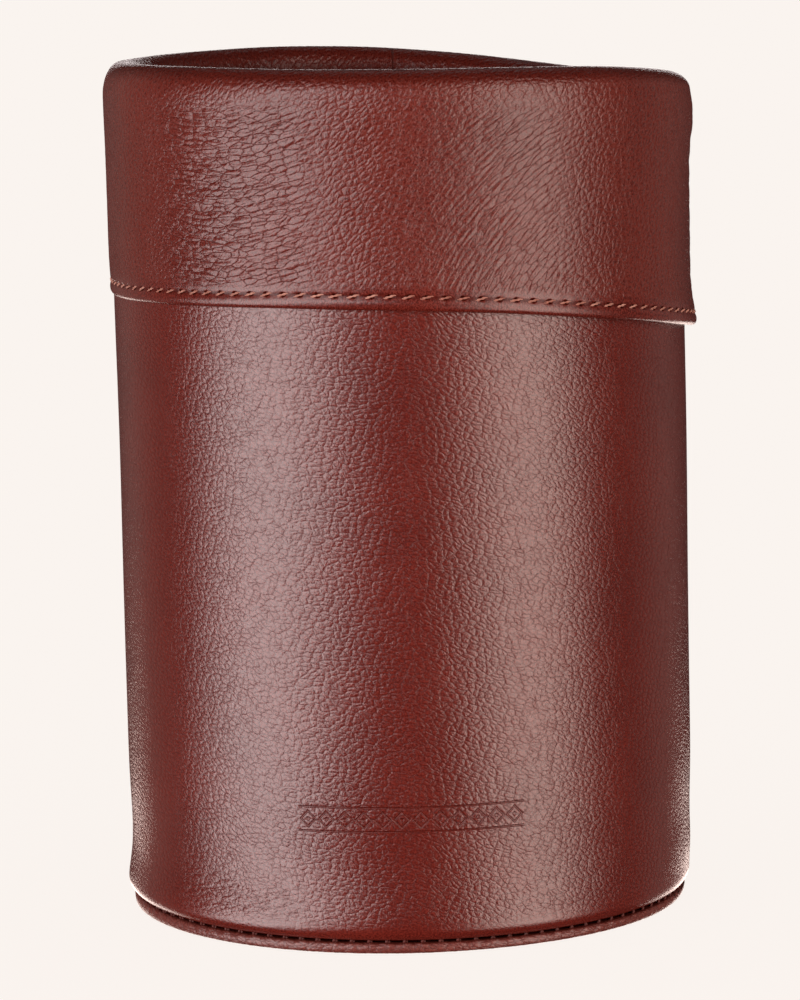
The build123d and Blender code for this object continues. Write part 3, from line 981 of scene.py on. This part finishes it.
def sew(name, places, template, slant, node, material):
    """One stitch at each place: (point, direction along the row, direction outward)."""
    points, faces = template
    draws = np.random.default_rng(len(places) + int(slant))
    all_points = []
    all_faces = []
    for place, along, out in places:
        across = np.cross(out, along)
        tilt = math.radians(slant + draws.normal(0, 2.0))
        x_axis = along * math.cos(tilt) + across * math.sin(tilt)
        y_axis = np.cross(out, x_axis)
        stretch = draws.uniform(0.93, 1.06)
        start = len(all_points) * len(points)
        lengthwise = np.outer(points[:, 0] * stretch, x_axis)
        sideways = np.outer(points[:, 1], y_axis)
        all_points.append(place + lengthwise + sideways + np.outer(points[:, 2], out))
        all_faces += [tuple(start + k for k in face) for face in faces]
    piece = new_object(name, np.concatenate(all_points), all_faces)
    outward(piece)
    piece.data.materials.append(material)
    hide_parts(node)
    return piece


def unit(vector):
    return vector / np.linalg.norm(vector)


def ring_places(count, radius_of, height_of, inward=False):
    """Places for a row that goes round the holder."""
    places = []
    for index in range(count):
        angle = np.array(-math.pi + TURN * index / count)
        step = 0.004
        here = at_angle(angle, radius_of(angle), height_of(angle))
        ahead = at_angle(angle + step, radius_of(angle + step), height_of(angle + step))
        along = unit(ahead - here)
        out = unit(np.array([math.sin(angle), -math.cos(angle), 0.0]))
        if inward:
            out = -out
            along = -along
        out = unit(out - along * np.dot(out, along))
        places.append((here, along, out))
    return places


hem_count = round(TURN * cuff_high[0] / STITCH_PITCH)
facing_count = round(TURN * FACING_INNER / STITCH_PITCH)
base_count = round(TURN * cover_high[0] / STITCH_PITCH)


def make_stitches():
    pieces = []
    template = thread_template(3.6, 0.42, 0.09, ply=0.15)

    def hem_radius(angle):
        return cuff_radius(angle, hem_height(angle) + HEM_ROW_RISE) - 0.2

    def hem_row(angle):
        return hem_height(angle) + HEM_ROW_RISE

    places = ring_places(hem_count, hem_radius, hem_row)
    pieces.append(sew("hem_thread", places, template, 16.0, "hem_stitching", tan_thread))

    def facing_row(angle):
        return FACING_ROW + 0 * angle

    places = ring_places(facing_count, lambda a: facing_radius(a, FACING_ROW), facing_row, inward=True)
    pieces.append(sew("facing_thread", places, template, 13.0, "facing_stitching", tan_thread))

    # upright threads that close the groove between wall and base
    bridge = thread_template(1.4, 0.3, 0.02, ply=0.36, turns=0.25)
    places = []
    for index in range(base_count):
        angle = np.array(-math.pi + TURN * index / base_count)
        height = groove_height(angle)
        out = np.array([math.sin(angle), -math.cos(angle), 0.0])
        lean = unit(np.array([0, 0, 1.0]) - 0.15 * out)
        place = at_angle(angle, base_edge(angle) - 0.85, height)
        places.append((place, lean, unit(out + 0.15 * np.array([0, 0, 1.0]))))
    pieces.append(sew("base_thread", places, bridge, 0.0, "base_stitching", russet_thread))

    def upright_rows(radius_of, low, high):
        places = []
        for side in (-3.0, 3.0):
            for z in np.arange(low, high, STITCH_PITCH):
                radius = radius_of(z)
                angle = math.pi - side / radius
                out = np.array([math.sin(angle), -math.cos(angle), 0.0])
                places.append((at_angle(np.array(angle), radius, z), np.array([0, 0, 1.0]), out))
        return places

    back = np.array(math.pi)
    places = upright_rows(lambda z: wall_radius(back, z) - 0.08, 12.0, wall_high[2] - 3)
    pieces.append(sew("wall_seam_thread", places, template, 0.0, "wall_seam_stitching", tan_thread))
    lap_low = float(hem_height(back)) + 6.5
    places = upright_rows(lambda z: cuff_radius(back, z) + 0.7, lap_low, float(rim_height(back)) - 8)
    pieces.append(sew("cuff_seam_thread", places, template, 0.0, "cuff_seam_stitching", tan_thread))
    return pieces


wall = make_wall()
cuff = make_cuff()
lining = make_lining()
floor_leather = make_floor()
base = make_base()
threads = make_stitches()
for piece in [wall, cuff, lining, floor_leather, base] + threads:
    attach(piece, "root")

# CAD pieces that keep their own shape
for node in ("wall_core", "seam_backing", "base_board", "base_filler", "floor_board"):
    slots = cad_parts[node].data.materials
    slots.clear()
    slots.append(fibreboard)


# ---------------------------------------------------------------- stage

def make_stage():
    """A wide pale floor with a soft contact shadow."""
    bpy.ops.mesh.primitive_circle_add(
        vertices=96, radius=30.0, fill_type="NGON", location=(0, 0, -0.0002))
    ground = bpy.context.object
    ground.name = "studio_floor"
    material, n, shader = new_material("studio_paper")
    coords = n.make("ShaderNodeTexCoord").outputs["Object"]
    tone = n.noise(coords, 3.0, 2.0).outputs["Fac"]
    n.put(shader.inputs["Base Color"], n.mix(tone, (0.16, 0.152, 0.146, 1.0), (0.17, 0.161, 0.155, 1.0)))
    shader.inputs["Roughness"].default_value = 0.9
    shader.inputs["Specular IOR Level"].default_value = 0.0
    shader.inputs["Emission Color"].default_value = (0.943, 0.890, 0.850, 1.0)
    shader.inputs["Emission Strength"].default_value = 0.975
    ground.data.materials.append(material)
    ground.visible_glossy = False
    ground.visible_diffuse = False
    ground.visible_shadow = False
    return ground


def make_light(name, stand, size, power, tint, lit, lean=0.0):
    """A softbox that faces the holder. Its stand is (azimuth from the front, distance, height)."""
    azimuth, distance, centre_z = stand
    data = bpy.data.lights.new(name, "AREA")
    data.shape = "RECTANGLE"
    data.size, data.size_y = size
    data.energy = power
    data.color = tint
    lamp = bpy.data.objects.new(name, data)
    bpy.context.scene.collection.objects.link(lamp)
    turn = math.radians(azimuth)
    place = Vector((distance * math.sin(turn), -distance * math.cos(turn), centre_z))
    aim = Vector((0, 0, 0.1)) - place
    lamp.location = place
    facing = aim.to_track_quat("-Z", "Y").to_matrix()
    lamp.rotation_euler = (facing @ Matrix.Rotation(math.radians(lean), 3, "Z")).to_euler()
    lamp.visible_camera = False
    lamp.light_linking.receiver_collection = lit


def light_group(name, members):
    """A collection of the objects that a lamp lights."""
    group = bpy.data.collections.new(name)
    for member in members:
        group.objects.link(member)
    return group


def make_lights(leathers, cavity, ground):
    """Two tall softboxes beside the camera, lights behind, and one into the cavity."""
    holder = light_group("lit_holder", leathers)
    paper = light_group("lit_floor", [ground])
    cool = (1.0, 0.88, 0.87)
    warm = (1.0, 0.79, 0.71)
    for name, stand, size, power, tint, lean in (
        ("softbox_left", (-50.5, 1.6, 0.10), (1.14, 2.8), 70, cool, -40),
        ("softbox_right", (49.3, 1.6, 0.10), (1.035, 2.4), 50, warm, 0.0),
        ("behind_left", (-134, 1.8, 0.10), (1.3, 2.2), 2.3, warm, 0.0),
        ("behind_right", (126, 1.8, 0.10), (1.0, 2.2), 2.1, warm, 0.0),
        ("backdrop_strip", (180, 1.8, 0.40), (0.8, 0.4), 3.0, cool, 0.0),
        ("behind_above", (180, 1.2, 1.6), (1.2, 0.8), 2.0, cool, 0.0),
        ("behind_below", (180, 1.5, -0.85), (1.9, 1.0), 26.0, warm, 0.0),
    ):
        make_light(name, stand, size, power, tint, holder, lean)
    inside = light_group("lit_cavity", cavity)
    make_light("into_cavity", (0, 0.05, 1.3), (0.5, 0.5), 14.0, cool, inside)
    sky = bpy.data.lights.new("floor_light", "SUN")
    sky.energy = 0.6
    sky.angle = math.radians(110)
    lamp = bpy.data.objects.new("floor_light", sky)
    bpy.context.scene.collection.objects.link(lamp)
    lamp.light_linking.receiver_collection = paper
    world = bpy.data.worlds.new("studio")
    bpy.context.scene.world = world
    world.use_nodes = True
    n = Nodes(world.node_tree)
    back = world.node_tree.nodes["Background"]
    path = n.make("ShaderNodeLightPath")
    color = n.mix(path.outputs["Is Camera Ray"], (0.035, 0.034, 0.033, 1.0), (0.943, 0.890, 0.850, 1.0))
    n.put(back.inputs[0], color)


def make_camera():
    """A long lens, a little above the holder and slightly rolled."""
    distance = 1.050
    elevation = math.radians(8.0)
    roll = math.radians(-1.38)
    target = Vector((-0.00084, 0.0, 0.0918))
    data = bpy.data.cameras.new("camera")
    data.lens = 163.7
    data.sensor_width = 36.0
    camera = bpy.data.objects.new("camera", data)
    bpy.context.scene.collection.objects.link(camera)
    forward = Vector((0.0, math.cos(elevation), -math.sin(elevation)))
    side = Vector((1.0, 0.0, 0.0))
    up = side.cross(forward)
    right = side * math.cos(roll) + up * math.sin(roll)
    rise = up * math.cos(roll) - side * math.sin(roll)
    turn = Matrix((right, rise, -forward)).transposed().to_4x4()
    camera.matrix_world = Matrix.Translation(target - forward * distance) @ turn
    bpy.context.scene.camera = camera


studio_floor = make_stage()
make_lights([wall, cuff, lining, floor_leather, base] + threads, [lining, floor_leather], studio_floor)
make_camera()
bpy.context.scene.view_settings.view_transform = "Standard"
